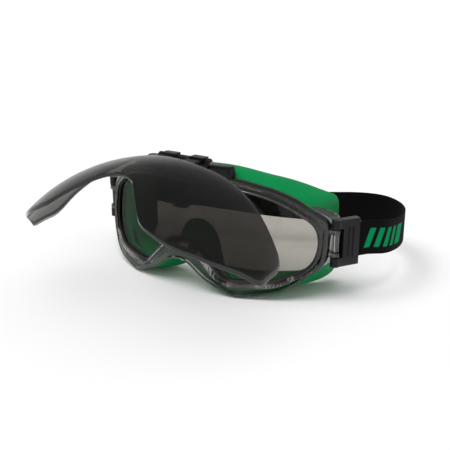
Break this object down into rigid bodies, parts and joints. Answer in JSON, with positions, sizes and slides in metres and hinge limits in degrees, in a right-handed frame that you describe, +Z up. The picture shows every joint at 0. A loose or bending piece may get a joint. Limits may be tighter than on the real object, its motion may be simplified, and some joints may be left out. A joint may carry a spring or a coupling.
{
  "type": "welding goggles",
  "caption": "Flip-up welding goggles with a wraparound frame, clear inner lens, soft face seal, hinged dark shade and elastic head strap.",
  "frame": {"origin": "bottom centre of the overall box, on the surface that the goggles stand on", "axes": "+X is the wearer's left, -Y is forward, the way the lenses look, and +Z is up"},
  "size_m": [0.2116, 0.213, 0.0844],
  "materials": {
    "smoke_frame": "translucent smoke",
    "clear_lens": "clear polycarbonate",
    "dark_rubber": "matt",
    "green_seal": "satin soft rubber",
    "black_plastic": "fine satin",
    "steel": "plain",
    "dark_shade": "dark welding tint",
    "black_strap": "woven elastic"
  },
  "bodies": {
    "frame": {"brow_vent_baffle": "black_plastic", "clear_lens": "clear_lens", "clip_pin_left": "smoke_frame", "clip_pin_right": "smoke_frame", "detent_spring": "steel", "face_seal": "green_seal", "frame_shell": "smoke_frame", "hinge_base": "black_plastic", "hinge_pin": "steel", "lens_gasket": "dark_rubber", "strap_band": "black_strap"},
    "shade": {"shade_carrier": "black_plastic", "shade_lens": "dark_shade", "shade_rivets": "black_plastic"},
    "clip_left": {"strap_clip_left": "black_plastic", "strap_end_left": "black_strap"},
    "clip_right": {"strap_clip_right": "black_plastic", "strap_end_right": "black_strap"},
    "slider": {"strap_slider": "black_plastic", "strap_tail": "black_strap"}
  },
  "joints": [
    {"name": "shade_flip", "type": "hinge", "parent": "frame", "child": "shade", "pos_m": [-0.00051, -0.0275, 0.07847], "axis": [1, 0, 0], "range_deg": [0, 62]},
    {"name": "clip_left_swing", "type": "hinge", "parent": "frame", "child": "clip_left", "pos_m": [0.08689, 0.0017, 0.03477], "axis": [0, 0, 1], "range_deg": [-20, 22]},
    {"name": "clip_right_swing", "type": "hinge", "parent": "frame", "child": "clip_right", "pos_m": [-0.08791, 0.0017, 0.03477], "axis": [0, 0, -1], "range_deg": [-20, 22]},
    {"name": "strap_adjust", "type": "slide", "parent": "frame", "child": "slider", "axis": [-0.9823, -0.1871, 0], "range_m": [-0.008, 0.005]}
  ]
}
